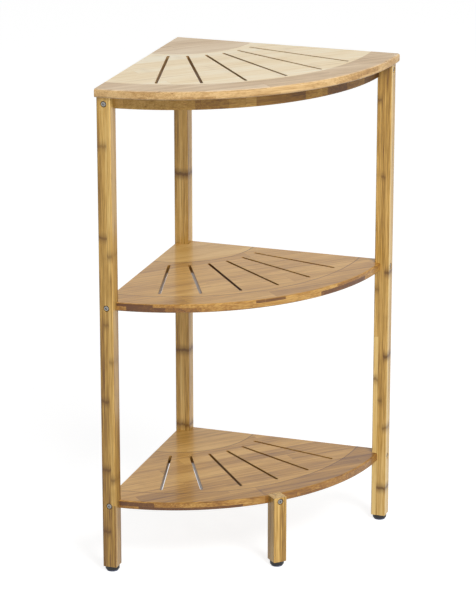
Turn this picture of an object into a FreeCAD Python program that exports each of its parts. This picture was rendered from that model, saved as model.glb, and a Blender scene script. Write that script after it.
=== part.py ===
import FreeCAD, Part

import math
import os
from types import SimpleNamespace

import Sketcher

# A free-standing bamboo corner shelf: three quarter-round shelves on three long legs and
# one short front leg, with levelling feet. All lengths are in millimetres, +Z is up.
#
# Every shelf is drawn about the wall corner, the line where the two walls meet. Seen from
# above, the left wall runs from that corner along -Y and the back wall along +X, and angles
# on a shelf are counted from the left wall towards the back wall. In the finished part the
# origin is on the floor, under the middle of the top.

SIZES = (
    # the whole shelf
    ("side", 330, "length of each straight side of the top"),
    ("total_height", 697, "floor to the upper face of the top"),
    ("middle_height", 395, "floor to the upper face of the middle shelf"),
    ("bottom_height", 105, "floor to the upper face of the bottom shelf"),
    ("panel_thick", 12, "thickness of all three shelves"),
    # how far things stand off the walls
    ("top_gap", 1, "wall to the straight edge of the top"),
    ("leg_gap", 2, "wall to the face of a leg"),
    ("shelf_gap", 4, "wall to the straight edge of a lower shelf"),
    # plan of the top
    ("top_block", 111, "radius of the corner block of the top"),
    ("top_rim", 41, "width of the rim of the top"),
    ("top_slot_inner", 11, "corner block to the inner end of a slot in the top"),
    ("top_slot_outer", 5, "outer end of a slot in the top to the rim"),
    ("top_round", 3, "rounding of the outer edge of the top"),
    # plan of the two lower shelves
    ("shelf_lap", 9, "curved edge of a lower shelf beyond the inner face of a leg"),
    ("shelf_block", 118, "radius of the corner block of a lower shelf"),
    ("shelf_rim", 37, "width of the rim of a lower shelf"),
    ("shelf_slot_inner", 13, "corner block to the inner end of a slot"),
    ("shelf_slot_outer", 11, "outer end of a slot to the rim"),
    ("shelf_round", 2, "rounding of the outer edge of a lower shelf"),
    # drain slots
    ("slot_width", 4, "width of a drain slot"),
    ("slot_pitch", 12.4, "degrees from one slot to the next"),
    ("slot_count", 6, "slots in each shelf"),
    # joints between the pieces of a shelf
    ("tongue_thick", 4, "thickness of a tongue"),
    ("tongue_length", 6, "reach of a tongue into its groove"),
    ("tongue_clearance", 0.1, "room around a tongue"),
    ("glue_line", 0.1, "gap between two curved edges that are glued"),
    ("spline_width", 14, "width of the loose spline across the rim joint"),
    ("spline_length", 20, "length of the loose spline"),
    ("spline_room", 1.5, "wood between the spline and the insert for the front leg"),
    # apron and corner cleat under the top
    ("apron_lap", 3, "outer face of the apron beyond the inner face of a leg"),
    ("apron_thick", 18, "thickness of the apron"),
    ("apron_height", 19, "height of the apron and of the cleat"),
    ("apron_round", 1, "rounding of the lower edges of the apron"),
    ("cleat_radius", 92, "radius of the corner cleat"),
    ("apron_screw_angle", 12, "degrees from the left wall to the first apron screw"),
    ("apron_screw_pitch", 22, "degrees from one apron screw to the next"),
    ("apron_screws", 4, "screws through the apron"),
    ("cleat_screw_radius", 62, "wall corner to a cleat screw"),
    ("cleat_screw_angle", 25, "degrees from the left wall to the first cleat screw"),
    ("cleat_screw_pitch", 20, "degrees from one cleat screw to the next"),
    ("cleat_screws", 3, "screws through the cleat"),
    ("screw_shank", 4, "diameter of a wood screw"),
    ("screw_bite", 9, "reach of a wood screw into the top"),
    ("screw_head", 7.4, "diameter of a wood screw's head"),
    ("screw_head_height", 2.6, "height of a wood screw's head"),
    ("screw_sink", 4, "depth of the counterbore for a screw head"),
    # legs
    ("leg_width", 20, "width of a leg across its bolted face"),
    ("leg_depth", 21, "depth of a leg behind its bolted face"),
    ("leg_setback", 5, "end of the top's side to the bolted face of a leg"),
    ("leg_round", 1.5, "rounding of the long edges of a leg"),
    ("front_seat", 5, "depth of the front leg in the edge of the bottom shelf"),
    ("notch_clearance", 0.15, "room between a leg and its notch"),
    # bolts and threaded inserts
    ("bolt_shank", 4, "diameter of a bolt"),
    ("bolt_bite", 8.45, "reach of a bolt into its threaded insert"),
    ("bolt_head", 7, "diameter of a bolt head"),
    ("bolt_head_height", 4, "height of a bolt head"),
    ("bolt_socket", 3, "width of the hexagon socket across its flats"),
    ("bolt_socket_depth", 2, "depth of the hexagon socket"),
    ("bolt_sink", 4.6, "depth of the counterbore for a bolt head"),
    ("bolt_head_room", 1, "room around a bolt head in its counterbore, on the radius"),
    ("bolt_room", 0.4, "room around a bolt or a wood screw, on the radius"),
    ("insert_outside", 8, "outer diameter of a threaded insert"),
    ("insert_length", 12, "length of a threaded insert"),
    ("insert_room", 0.4, "room behind a threaded insert"),
    ("metal_bevel", 0.4, "bevel on the ends of bolts, inserts and studs"),
    ("thread_fit", 0.05, "running clearance of a thread, on the radius"),
    # levelling feet
    ("foot_height", 8, "floor to the lower end of a leg, with the foot screwed home"),
    ("pad_outside", 20, "diameter of the foot pad"),
    ("glide_outside", 16.5, "diameter of the glide under the pad"),
    ("glide_height", 2, "thickness of the glide"),
    ("stud_outside", 6, "diameter of the foot's threaded stud"),
    ("stud_seat", 3, "depth of the stud in the pad"),
    ("stud_length", 25, "length of the stud"),
    ("foot_nut_outside", 9, "outer diameter of the threaded insert for the foot"),
    ("foot_nut_length", 13, "length of the threaded insert for the foot"),
    ("foot_hole_room", 3, "hole in the leg beyond the tip of the stud"),
)

doc = FreeCAD.newDocument("corner_shelf")
sheet = doc.addObject("Spreadsheet::Sheet", "Sizes")
UP = FreeCAD.Vector(0, 0, 1)
ALONG_X = FreeCAD.Vector(1, 0, 0)
ORIGIN = FreeCAD.Vector(0, 0, 0)
BISECTOR = 45
H_AXIS = -1
V_AXIS = -2
OVERSHOOT = 3


class Size:
    """A length that knows its number and the expression on the sheet that gives it."""

    def __init__(self, number, text):
        self.number = number
        self.text = text

    def combine(self, other, sign, number):
        text = other.text if isinstance(other, Size) else repr(other)
        return Size(number, f"({self.text} {sign} {text})")

    def __add__(self, other):
        return self.combine(other, "+", self.number + plain(other))

    def __sub__(self, other):
        return self.combine(other, "-", self.number - plain(other))

    def __mul__(self, other):
        return self.combine(other, "*", self.number * plain(other))

    def __truediv__(self, other):
        return self.combine(other, "/", self.number / plain(other))

    def __neg__(self):
        return Size(-self.number, f"(0 - {self.text})")


def plain(value):
    return value.number if isinstance(value, Size) else value


def fill_sheet():
    """Write every driving size into the sheet and return them by name."""
    named = {}
    for row, (alias, number, note) in enumerate(SIZES, start=1):
        sheet.set(f"A{row}", note)
        sheet.set(f"B{row}", str(number))
        sheet.setAlias(f"B{row}", alias)
        named[alias] = Size(number, f"Sizes.{alias}")
    doc.recompute()
    return SimpleNamespace(**named)


S = fill_sheet()


# ---------------------------------------------------------------- sketch and body helpers

def new_body(label):
    body = doc.addObject("PartDesign::Body", label)
    body.Label = label
    return body


def origin_feature(body, role):
    return next(item for item in body.Origin.OriginFeatures if item.Role == role)


def place(thing, x, y, z, rotation=None):
    """Give a piece its place: bound to the sheet, turned by a fixed rotation."""
    thing.Placement = FreeCAD.Placement(ORIGIN, rotation or FreeCAD.Rotation())
    for axis, value in (("x", x), ("y", y), ("z", z)):
        if isinstance(value, Size):
            thing.setExpression(f"Placement.Base.{axis}", value.text)


def attach(body, name, rotation, base):
    """A sketch on the body's ground plane, moved and turned to where it is needed."""
    sketch = body.newObject("Sketcher::SketchObject", name)
    sketch.AttachmentSupport = [(origin_feature(body, "XY_Plane"), "")]
    sketch.MapMode = "FlatFace"
    sketch.AttachmentOffset = FreeCAD.Placement(ORIGIN, rotation)
    for axis, value in zip("xyz", base):
        if isinstance(value, Size):
            sketch.setExpression(f"AttachmentOffset.Base.{axis}", value.text)
    return sketch


def plan_sketch(body, name, height=0, angle=0):
    """A sketch seen from above, at a height, with -Y turned by an angle from the left wall."""
    return attach(body, name, FreeCAD.Rotation(UP, plain(angle)), (0, 0, height))


def wall_sketch(body, name, angle, distance):
    """An upright sketch that faces away from the origin, at an angle and a distance."""
    turn = math.radians(angle)
    rotation = FreeCAD.Rotation(UP, angle) * FreeCAD.Rotation(ALONG_X, 90)
    sideways = distance * round(math.sin(turn), 12)
    outwards = distance * round(-math.cos(turn), 12)
    return attach(body, name, rotation, (sideways, outwards, 0))


def fix(sketch, kind, *details):
    """Add a dimension whose value comes from the sheet."""
    *geometry, size = details
    index = sketch.addConstraint(Sketcher.Constraint(kind, *geometry, size.number))
    name = f"size_{index}"
    sketch.renameConstraint(index, name)
    sketch.setExpression(f"Constraints.{name}", size.text)


def tie(sketch, kind, *geometry):
    sketch.addConstraint(Sketcher.Constraint(kind, *geometry))


def arc_about_corner(sketch, radius, start, end):
    """An arc about the sketch's origin; start and end are in radians."""
    circle = Part.Circle(ORIGIN, UP, radius.number)
    arc = sketch.addGeometry(Part.ArcOfCircle(circle, start, end), False)
    tie(sketch, "Coincident", arc, 3, H_AXIS, 1)
    fix(sketch, "Radius", arc, radius)
    return arc


def line(sketch, start, end):
    return sketch.addGeometry(Part.LineSegment(start, end), False)


def end_point(sketch, geometry, which):
    return sketch.getPoint(geometry, which)


def draw_quarter_ring(sketch, inner, outer, gap):
    """Quarter ring about the corner, its straight ends a gap away from the walls."""
    outside = arc_about_corner(sketch, outer, *gap_angles(outer, gap))
    inside = arc_about_corner(sketch, inner, *gap_angles(inner, gap))
    left = line(sketch, end_point(sketch, inside, 1), end_point(sketch, outside, 1))
    right = line(sketch, end_point(sketch, outside, 2), end_point(sketch, inside, 2))
    tie(sketch, "Coincident", left, 1, inside, 1)
    tie(sketch, "Coincident", left, 2, outside, 1)
    tie(sketch, "Coincident", right, 1, outside, 2)
    tie(sketch, "Coincident", right, 2, inside, 2)
    tie(sketch, "Vertical", left)
    tie(sketch, "Horizontal", right)
    fix(sketch, "DistanceX", H_AXIS, 1, left, 2, gap)
    fix(sketch, "DistanceY", right, 1, H_AXIS, 1, gap)


def draw_quarter_disc(sketch, outer, gap):
    """Quarter disc about the corner, its two straight edges a gap away from the walls."""
    outside = arc_about_corner(sketch, outer, *gap_angles(outer, gap))
    corner = FreeCAD.Vector(gap.number, -gap.number, 0)
    right = line(sketch, end_point(sketch, outside, 2), corner)
    left = line(sketch, corner, end_point(sketch, outside, 1))
    tie(sketch, "Coincident", right, 1, outside, 2)
    tie(sketch, "Coincident", right, 2, left, 1)
    tie(sketch, "Coincident", left, 2, outside, 1)
    tie(sketch, "Vertical", left)
    tie(sketch, "Horizontal", right)
    fix(sketch, "DistanceX", H_AXIS, 1, left, 2, gap)
    fix(sketch, "DistanceY", right, 1, H_AXIS, 1, gap)


def draw_rim_part(sketch, inner, outer, gap, span):
    """Ring from the left wall to a radial joint, span degrees away from that wall."""
    joint = math.radians(span.number - 90)
    outside = arc_about_corner(sketch, outer, gap_angles(outer, gap)[0], joint)
    inside = arc_about_corner(sketch, inner, gap_angles(inner, gap)[0], joint)
    left = line(sketch, end_point(sketch, inside, 1), end_point(sketch, outside, 1))
    butt = line(sketch, end_point(sketch, outside, 2), end_point(sketch, inside, 2))
    tie(sketch, "Coincident", left, 1, inside, 1)
    tie(sketch, "Coincident", left, 2, outside, 1)
    tie(sketch, "Coincident", butt, 1, outside, 2)
    tie(sketch, "Coincident", butt, 2, inside, 2)
    tie(sketch, "Vertical", left)
    tie(sketch, "PointOnObject", H_AXIS, 1, butt)
    fix(sketch, "DistanceX", H_AXIS, 1, left, 2, gap)
    index = sketch.addConstraint(Sketcher.Constraint("Angle", butt, math.radians(span.number + 90)))
    sketch.renameConstraint(index, "joint_angle")
    sketch.setExpression("Constraints.joint_angle", (span + 90).text)


def gap_angles(radius, gap):
    """Where an arc of this radius meets the two lines that stand a gap off the walls."""
    lean = math.asin(gap.number / radius.number)
    return lean - math.pi / 2, -lean


def draw_rectangle(sketch, left, right, low, high):
    """Rectangle between two distances across and two distances up, all from the origin."""
    corners = [
        FreeCAD.Vector(plain(x), plain(y), 0)
        for x, y in ((left, low), (right, low), (right, high), (left, high))
    ]
    sides = [line(sketch, corners[i], corners[(i + 1) % 4]) for i in range(4)]
    for i in range(4):
        tie(sketch, "Coincident", sides[i], 2, sides[(i + 1) % 4], 1)
        tie(sketch, "Horizontal" if i % 2 == 0 else "Vertical", sides[i])
    fix(sketch, "DistanceX", H_AXIS, 1, sides[0], 1, left)
    fix(sketch, "DistanceX", H_AXIS, 1, sides[0], 2, right)
    fix(sketch, "DistanceY", H_AXIS, 1, sides[0], 1, low)
    fix(sketch, "DistanceY", H_AXIS, 1, sides[1], 2, high)


def draw_circle(sketch, diameter, across=None, up=None):
    """Circle at a distance across and up; left out, that coordinate is on the axis."""
    centre = FreeCAD.Vector(plain(across or 0), plain(up or 0), 0)
    circle = sketch.addGeometry(Part.Circle(centre, UP, diameter.number / 2), False)
    fix(sketch, "Diameter", circle, diameter)
    if across is None:
        tie(sketch, "PointOnObject", circle, 3, V_AXIS)
    else:
        fix(sketch, "DistanceX", H_AXIS, 1, circle, 3, across)
    if up is None:
        tie(sketch, "PointOnObject", circle, 3, H_AXIS)
    else:
        fix(sketch, "DistanceY", H_AXIS, 1, circle, 3, up)
    return circle


def draw_slot(sketch, near, far, width):
    """Round-ended slot along -Y, between two distances from the origin."""
    half = width / 2
    ends = []
    for distance, start in ((near + half, 0), (far - half, math.pi)):
        centre = FreeCAD.Vector(0, -distance.number, 0)
        circle = Part.Circle(centre, UP, half.number)
        end = sketch.addGeometry(Part.ArcOfCircle(circle, start, start + math.pi), False)
        tie(sketch, "PointOnObject", end, 3, V_AXIS)
        fix(sketch, "DistanceY", end, 3, H_AXIS, 1, distance)
        ends.append(end)
    inner, outer = ends
    sides = [
        line(sketch, end_point(sketch, inner, 2), end_point(sketch, outer, 1)),
        line(sketch, end_point(sketch, outer, 2), end_point(sketch, inner, 1)),
    ]
    tie(sketch, "Tangent", inner, 2, sides[0], 1)
    tie(sketch, "Tangent", sides[0], 2, outer, 1)
    tie(sketch, "Tangent", outer, 2, sides[1], 1)
    tie(sketch, "Tangent", sides[1], 2, inner, 1)
    fix(sketch, "Radius", inner, half)


def pad(body, sketch, length, backwards=False):
    doc.recompute()
    feature = body.newObject("PartDesign::Pad", f"{body.Name}_pad")
    feature.Profile = sketch
    feature.Length = length.number
    feature.setExpression("Length", length.text)
    feature.Reversed = backwards
    doc.recompute()
    return feature


def pocket(body, sketch, length, forwards=False):
    """Cut along the sketch's back, or forwards; a cut that removes nothing is an error."""
    doc.recompute()
    before = body.Shape.Volume
    feature = body.newObject("PartDesign::Pocket", f"{body.Name}_pocket")
    feature.Profile = sketch
    feature.Length = length.number
    feature.setExpression("Length", length.text)
    feature.Reversed = forwards
    doc.recompute()
    if not body.Shape.Volume < before - 1e-6:
        raise RuntimeError(f"{feature.Name} in {body.Label} cuts nothing")
    return feature


def polar_pattern(body, feature, count, pitch):
    """Repeat a cut about the body's upright axis."""
    before = body.Shape.Volume
    pattern = body.newObject("PartDesign::PolarPattern", f"{body.Name}_pattern")
    pattern.Originals = [feature]
    pattern.Axis = (origin_feature(body, "Z_Axis"), [""])
    pattern.Angle = (count.number - 1) * pitch.number
    pattern.setExpression("Angle", ((count - 1) * pitch).text)
    pattern.Occurrences = int(count.number)
    pattern.setExpression("Occurrences", count.text)
    body.Tip = pattern
    doc.recompute()
    if not body.Shape.Volume < before - 1e-6:
        raise RuntimeError(f"{pattern.Name} in {body.Label} repeats nothing")
    return pattern


def dress(body, kind, size, wanted):
    """Round or bevel the edges of the body's tip that the test picks out."""
    doc.recompute()
    tip = body.Tip
    names = [f"Edge{i}" for i, edge in enumerate(tip.Shape.Edges, start=1) if wanted(edge)]
    if not names:
        raise RuntimeError(f"no edge of {body.Label} to dress")
    feature = body.newObject(f"PartDesign::{kind}", f"{body.Name}_{kind.lower()}")
    feature.Base = (tip, names)
    if kind == "Fillet":
        feature.Radius = size.number
        feature.setExpression("Radius", size.text)
    else:
        feature.Size = size.number
        feature.setExpression("Size", size.text)
    body.Tip = feature
    doc.recompute()
    return feature


def round_edge(radius, centre=None):
    """Test for circular edges of a given radius."""
    def wanted(edge):
        curve = edge.Curve
        if not isinstance(curve, Part.Circle):
            return False
        return abs(curve.Radius - radius.number) < 1e-4 and (
            centre is None or abs(curve.Center.z - centre) < 1e-4
        )
    return wanted


def long_upright_edge(length):
    """Test for straight edges that run the whole height of a leg."""
    def wanted(edge):
        box = edge.BoundBox
        return box.ZLength > length.number - 1 and box.XLength + box.YLength < 1e-4
    return wanted


# ---------------------------------------------------------------- sizes worked out once

TOP_RADIUS = S.top_gap + S.side
CORNER_X = -(S.top_gap + S.side / 2)
CORNER_Y = S.top_gap + S.side / 2
LEG_END = TOP_RADIUS - S.leg_setback
LEG_INNER = LEG_END - S.leg_depth
LEG_LENGTH = S.total_height - S.panel_thick - S.foot_height
SHELF_RADIUS = LEG_INNER + S.shelf_lap
APRON_RADIUS = LEG_INNER + S.apron_lap
FRONT_FACE = SHELF_RADIUS - S.front_seat + S.leg_depth
FRONT_LEG_LENGTH = S.bottom_height - S.foot_height
PANEL_MIDDLE = S.panel_thick / 2
APRON_MIDDLE = S.apron_height / 2
INSERT_HOLE = S.insert_outside + S.thread_fit * 2
INSERT_DEPTH = S.insert_length + S.insert_room
BOLT_LENGTH = S.leg_depth - S.bolt_sink + S.notch_clearance + S.bolt_bite
SCREW_LENGTH = S.apron_height - S.screw_sink + S.screw_bite
PILOT = S.screw_shank + S.thread_fit * 2
ACROSS_LEG = S.leg_gap + S.leg_width / 2
OVER = Size(OVERSHOOT, str(OVERSHOOT))
NOTHING = Size(0, "0")
PILOT_DEPTH = S.screw_bite + OVER + S.insert_room

BOLT_HEIGHTS = {
    "top": LEG_LENGTH - APRON_MIDDLE,
    "middle": S.middle_height - PANEL_MIDDLE - S.foot_height,
    "bottom": S.bottom_height - PANEL_MIDDLE - S.foot_height,
}

TIERS = {
    "top": SimpleNamespace(
        outer=TOP_RADIUS, gap=S.top_gap, block=S.top_block, rim=S.top_rim,
        slot_inner=S.top_slot_inner, slot_outer=S.top_slot_outer,
        rounding=S.top_round, floor=S.total_height - S.panel_thick,
    ),
    "middle": SimpleNamespace(
        outer=SHELF_RADIUS, gap=S.shelf_gap, block=S.shelf_block, rim=S.shelf_rim,
        slot_inner=S.shelf_slot_inner, slot_outer=S.shelf_slot_outer,
        rounding=S.shelf_round, floor=S.middle_height - S.panel_thick,
    ),
    "bottom": SimpleNamespace(
        outer=SHELF_RADIUS, gap=S.shelf_gap, block=S.shelf_block, rim=S.shelf_rim,
        slot_inner=S.shelf_slot_inner, slot_outer=S.shelf_slot_outer,
        rounding=S.shelf_round, floor=S.bottom_height - S.panel_thick,
    ),
}


def spline_centre(tier):
    return tier.outer - tier.rim / 2 + S.tongue_length / 2


def rim_joint_angle():
    """Degrees from the left wall to the rim joint: its spline clears the front leg's insert."""
    reach = S.spline_length / 2 + INSERT_HOLE / 2 + S.spline_room
    centre = spline_centre(TIERS["bottom"])
    lean = math.degrees(math.asin(reach.number / centre.number))
    return Size(BISECTOR - lean, f"({BISECTOR} - asin({reach.text} / {centre.text}) / 1deg)")


RIM_JOINT = rim_joint_angle()

# A piece turned over about the bisector of the corner swaps its left and its right.
TURNED_OVER = FreeCAD.Rotation(FreeCAD.Vector(1, -1, 0), 180)

# Each leg: where its centre is from the wall corner, and how far its bolted face is turned
# from -Y.
DIAGONAL = math.sqrt(0.5)
LEGS = {
    "left": SimpleNamespace(x=ACROSS_LEG, y=-(LEG_END - S.leg_depth / 2), turn=0),
    "right": SimpleNamespace(x=LEG_END - S.leg_depth / 2, y=-ACROSS_LEG, turn=90),
    "back": SimpleNamespace(x=S.leg_gap + S.leg_depth / 2, y=-ACROSS_LEG, turn=-90),
    "front": SimpleNamespace(
        x=(FRONT_FACE - S.leg_depth / 2) * DIAGONAL,
        y=-((FRONT_FACE - S.leg_depth / 2) * DIAGONAL),
        turn=BISECTOR,
    ),
}


# ---------------------------------------------------------------- cuts that several pieces share

def cut_end_notch(body, height):
    """Room for the leg that stands at the left end of a shelf or of the apron."""
    notch = plan_sketch(body, f"{body.Name}_end_notch")
    draw_rectangle(
        notch,
        -OVER,
        S.leg_gap + S.leg_width + S.notch_clearance,
        -(TOP_RADIUS + OVER),
        -(LEG_INNER - S.notch_clearance),
    )
    pocket(body, notch, height, forwards=True)


def cut_corner_notch(body, height):
    """Room for the back leg."""
    notch = plan_sketch(body, f"{body.Name}_corner_notch")
    draw_rectangle(
        notch,
        -OVER,
        S.leg_gap + S.leg_depth + S.notch_clearance,
        -(S.leg_gap + S.leg_width + S.notch_clearance),
        OVER,
    )
    pocket(body, notch, height, forwards=True)


def cut_insert_hole(body, angle, distance, across, up, forwards=False):
    """Hole for a threaded insert, square to a leg's inner face."""
    hole = wall_sketch(body, f"{body.Name}_insert_{angle}", angle, distance)
    draw_circle(hole, INSERT_HOLE, across, up)
    pocket(body, hole, INSERT_DEPTH, forwards)


def cut_end_insert_hole(body, up):
    cut_insert_hole(body, 0, LEG_INNER - S.notch_clearance, ACROSS_LEG, up)


def cut_corner_insert_hole(body, up):
    distance = S.leg_gap + S.leg_depth + S.notch_clearance
    cut_insert_hole(body, 90, distance, -ACROSS_LEG, up, forwards=True)


def cut_screw_holes(body, radius, first, count, pitch, diameter, bottom, length):
    """Upright holes on a circle about the wall corner."""
    holes = plan_sketch(body, f"{body.Name}_screws", bottom, first)
    holes.setExpression("AttachmentOffset.Rotation.Angle", first.text)
    draw_circle(holes, diameter, None, -radius)
    cut = pocket(body, holes, length, forwards=True)
    polar_pattern(body, cut, count, pitch)


# ---------------------------------------------------------------- shelf pieces

def tongue_floor():
    return (S.panel_thick - S.tongue_thick) / 2


def cut_groove(body, inner, outer, gap):
    """Groove for a tongue, halfway up a shelf's edge."""
    groove = plan_sketch(body, f"{body.Name}_groove", tongue_floor() - S.tongue_clearance)
    draw_quarter_ring(groove, inner, outer, gap)
    pocket(body, groove, S.tongue_thick + S.tongue_clearance * 2, forwards=True)


def make_corner_block(tier_name, tier):
    body = new_body(f"{tier_name}_corner_block")
    plan = plan_sketch(body, f"{body.Name}_plan")
    draw_quarter_disc(plan, tier.block, tier.gap)
    pad(body, plan, S.panel_thick)
    depth = S.tongue_length + S.tongue_clearance
    cut_groove(body, tier.block - depth, tier.block + OVER, tier.gap / 2)
    if tier_name != "top":
        cut_corner_notch(body, S.panel_thick)
        cut_corner_insert_hole(body, PANEL_MIDDLE)
    else:
        cut_screw_holes(body, S.cleat_screw_radius, S.cleat_screw_angle, S.cleat_screws,
                        S.cleat_screw_pitch, PILOT, -OVER, PILOT_DEPTH)
    place(body, CORNER_X, CORNER_Y, tier.floor)
    return body


def make_slotted_panel(tier_name, tier):
    """Field between corner block and rim, with a tongue on both curved edges."""
    body = new_body(f"{tier_name}_slotted_panel")
    rim_inner = tier.outer - tier.rim
    plan = plan_sketch(body, f"{body.Name}_plan")
    draw_quarter_ring(plan, tier.block + S.glue_line, rim_inner - S.glue_line, tier.gap)
    pad(body, plan, S.panel_thick)
    tongues = plan_sketch(body, f"{body.Name}_tongues", tongue_floor())
    draw_quarter_ring(tongues, tier.block - S.tongue_length, rim_inner + S.tongue_length, tier.gap)
    pad(body, tongues, S.tongue_thick)
    first = -(S.slot_pitch * (S.slot_count - 1) / 2) + BISECTOR
    slot = plan_sketch(body, f"{body.Name}_slot", 0, first)
    slot.setExpression("AttachmentOffset.Rotation.Angle", first.text)
    draw_slot(slot, tier.block + tier.slot_inner, rim_inner - tier.slot_outer, S.slot_width)
    cut = pocket(body, slot, S.panel_thick, forwards=True)
    polar_pattern(body, cut, S.slot_count, S.slot_pitch)
    place(body, CORNER_X, CORNER_Y, tier.floor)
    return body


def cut_spline_slot(body, tier, span):
    """Half of the slot for the loose spline across the rim joint."""
    floor = tongue_floor() - S.tongue_clearance
    slot = plan_sketch(body, f"{body.Name}_spline", floor, span)
    slot.setExpression("AttachmentOffset.Rotation.Angle", span.text)
    half = S.spline_width / 2 + S.tongue_clearance
    reach = S.spline_length / 2 + S.tongue_clearance
    centre = spline_centre(tier)
    draw_rectangle(slot, -reach, OVER, -(centre + half), -(centre - half))
    pocket(body, slot, S.tongue_thick + S.tongue_clearance * 2, forwards=True)


def make_rim_part(tier_name, tier, side, span):
    """One part of the rim, from its wall to the joint; the right one is turned over."""
    body = new_body(f"{tier_name}_rim_{side}")
    inner = tier.outer - tier.rim
    plan = plan_sketch(body, f"{body.Name}_plan")
    draw_rim_part(plan, inner, tier.outer, tier.gap, span)
    pad(body, plan, S.panel_thick)
    depth = S.tongue_length + S.tongue_clearance
    cut_groove(body, inner - OVER, inner + depth, tier.gap / 2)
    cut_spline_slot(body, tier, span)
    if tier_name == "top":
        cut_rim_pilot_holes(body, side)
    else:
        cut_end_notch(body, S.panel_thick)
        cut_end_insert_hole(body, PANEL_MIDDLE)
    if tier_name == "bottom" and side == "right":
        cut_front_notch(body)
    dress(body, "Fillet", tier.rounding, round_edge(tier.outer))
    if side == "left":
        place(body, CORNER_X, CORNER_Y, tier.floor)
    else:
        place(body, CORNER_X, CORNER_Y, tier.floor + S.panel_thick, TURNED_OVER)
    return body


def cut_rim_pilot_holes(body, side):
    """Pilot holes for the half of the apron screws that this part of the rim takes."""
    radius = APRON_RADIUS - S.apron_thick / 2
    floor = -OVER if side == "left" else S.panel_thick - PILOT_DEPTH + OVER
    cut_screw_holes(body, radius, S.apron_screw_angle, S.apron_screws / 2,
                    S.apron_screw_pitch, PILOT, floor, PILOT_DEPTH)


def cut_front_notch(body):
    """Room for the front leg, and the hole for its threaded insert."""
    back = FRONT_FACE - S.leg_depth - S.notch_clearance
    half = S.leg_width / 2 + S.notch_clearance
    notch = plan_sketch(body, f"{body.Name}_front_notch", 0, BISECTOR)
    draw_rectangle(notch, -half, half, -(SHELF_RADIUS + OVER), -back)
    pocket(body, notch, S.panel_thick, forwards=True)
    cut_insert_hole(body, BISECTOR, back, None, PANEL_MIDDLE)


def make_rim_spline(tier_name, tier):
    """Loose spline that keeps the two parts of the rim in line."""
    body = new_body(f"{tier_name}_rim_spline")
    plan = plan_sketch(body, f"{body.Name}_plan", 0, RIM_JOINT)
    plan.setExpression("AttachmentOffset.Rotation.Angle", RIM_JOINT.text)
    half = S.spline_width / 2
    reach = S.spline_length / 2
    centre = spline_centre(tier)
    draw_rectangle(plan, -reach, reach, -(centre + half), -(centre - half))
    pad(body, plan, S.tongue_thick)
    place(body, CORNER_X, CORNER_Y, tier.floor + tongue_floor())
    return body


# ---------------------------------------------------------------- apron and cleat

def cut_through_screws(body, radius, first, count, pitch):
    """Clearance holes and, from below, counterbores for screw heads."""
    cut_screw_holes(body, radius, first, count, pitch,
                    S.screw_shank + S.bolt_room * 2, -OVER, S.apron_height + OVER * 2)
    cut_screw_holes(body, radius, first, count, pitch,
                    S.screw_head + S.bolt_room * 2, -OVER, S.screw_sink + OVER)


def make_apron():
    """Curved rail under the top, which the left and right legs are bolted to."""
    body = new_body("top_apron")
    plan = plan_sketch(body, "top_apron_plan")
    draw_quarter_ring(plan, APRON_RADIUS - S.apron_thick, APRON_RADIUS, S.leg_gap)
    pad(body, plan, S.apron_height)
    cut_end_notch(body, S.apron_height)
    right = plan_sketch(body, "top_apron_right_notch")
    draw_rectangle(
        right,
        LEG_INNER - S.notch_clearance,
        TOP_RADIUS + OVER,
        -(S.leg_gap + S.leg_width + S.notch_clearance),
        OVER,
    )
    pocket(body, right, S.apron_height, forwards=True)
    cut_end_insert_hole(body, APRON_MIDDLE)
    cut_insert_hole(body, 90, LEG_INNER - S.notch_clearance, -ACROSS_LEG, APRON_MIDDLE)
    cut_through_screws(body, APRON_RADIUS - S.apron_thick / 2, S.apron_screw_angle,
                       S.apron_screws, S.apron_screw_pitch)
    dress(body, "Fillet", S.apron_round, round_edge(APRON_RADIUS, 0))
    place(body, CORNER_X, CORNER_Y, TIERS["top"].floor - S.apron_height)
    return body


def make_cleat():
    """Quarter-round block under the top, which the back leg is bolted to."""
    body = new_body("top_corner_cleat")
    plan = plan_sketch(body, "top_corner_cleat_plan")
    draw_quarter_disc(plan, S.cleat_radius, S.leg_gap)
    pad(body, plan, S.apron_height)
    cut_corner_notch(body, S.apron_height)
    cut_corner_insert_hole(body, APRON_MIDDLE)
    cut_through_screws(body, S.cleat_screw_radius, S.cleat_screw_angle,
                       S.cleat_screws, S.cleat_screw_pitch)
    dress(body, "Fillet", S.apron_round, round_edge(S.cleat_radius, 0))
    place(body, CORNER_X, CORNER_Y, TIERS["top"].floor - S.apron_height)
    return body


# ---------------------------------------------------------------- legs

def make_leg(name, length, heights):
    """A leg about its own axis, with its lower end at zero and its bolted face on -Y."""
    body = new_body(f"{name}_leg")
    plan = plan_sketch(body, f"{body.Name}_plan")
    half_width = S.leg_width / 2
    half_depth = S.leg_depth / 2
    draw_rectangle(plan, -half_width, half_width, -half_depth, half_depth)
    pad(body, plan, length)
    dress(body, "Fillet", S.leg_round, long_upright_edge(length))
    bolt_hole = (S.bolt_shank + S.bolt_room * 2, S.leg_depth)
    counterbore = (S.bolt_head + S.bolt_head_room * 2, S.bolt_sink)
    for use, (diameter, depth) in (("bolt", bolt_hole), ("head", counterbore)):
        holes = wall_sketch(body, f"{body.Name}_{use}_holes", 0, half_depth)
        for height in heights:
            draw_circle(holes, diameter, None, height)
        pocket(body, holes, depth)
    foot = plan_sketch(body, f"{body.Name}_foot_hole")
    draw_circle(foot, S.foot_nut_outside + S.thread_fit * 2)
    pocket(body, foot, S.stud_length - S.stud_seat + S.foot_hole_room, forwards=True)
    put_with_leg(body, name, S.foot_height)
    return body


def put_with_leg(thing, name, height):
    """Place something drawn about a leg's own axis where that leg is."""
    leg = LEGS[name]
    place(thing, CORNER_X + leg.x, CORNER_Y + leg.y, height, FreeCAD.Rotation(UP, leg.turn))


# ---------------------------------------------------------------- fasteners

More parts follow.
